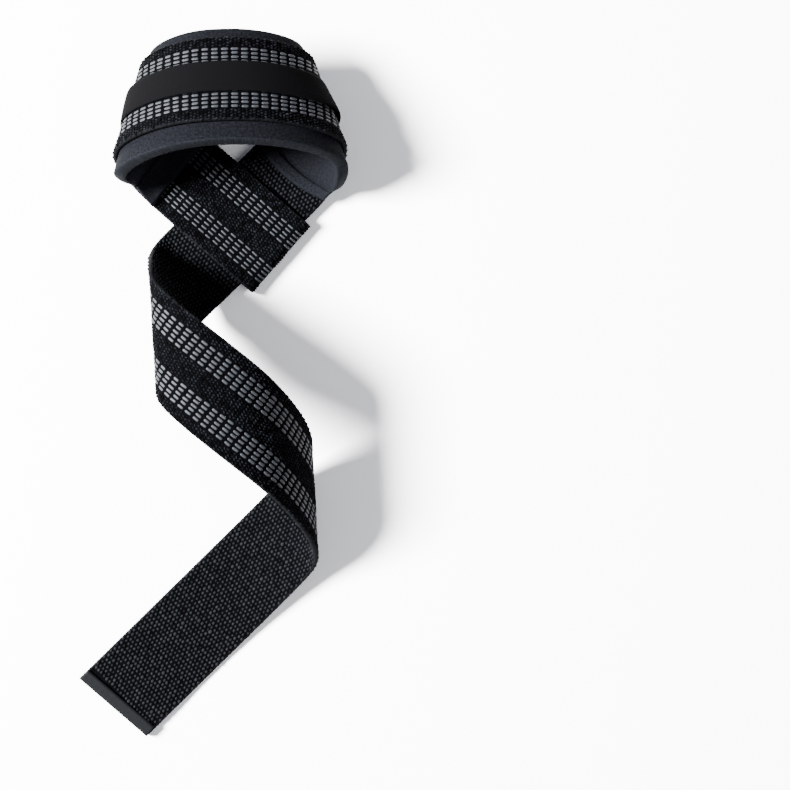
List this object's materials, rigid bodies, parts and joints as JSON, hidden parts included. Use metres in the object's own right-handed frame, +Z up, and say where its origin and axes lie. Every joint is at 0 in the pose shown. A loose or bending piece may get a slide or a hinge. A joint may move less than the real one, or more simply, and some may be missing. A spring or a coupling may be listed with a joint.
{
  "type": "weightlifting wrist strap",
  "caption": "Weightlifting strap with a padded wrist loop, a folded eye that the tail runs through, and a long webbing tail, lying on the floor with its tail curled over.",
  "frame": {"origin": "middle of the strap's underside on the floor, at the centre of its box", "axes": "+Z up, +Y from the tail's end towards the wrist loop, +X to the user's right seen from the tail"},
  "size_m": [0.1166, 0.2974, 0.0517],
  "materials": {
    "webbing": "black woven cotton webbing, matt, with light grey grip stripes on its outer side",
    "wrist_pad": "dark slate jersey over neoprene foam, matt",
    "centre_band": "smooth black tape, low sheen",
    "end_binding": "smooth black binding tape, low sheen"
  },
  "bodies": {
    "root": {"webbing": "webbing", "wrist_pad": "wrist_pad", "centre_band": "centre_band", "end_binding": "end_binding"}
  },
  "joints": []
}
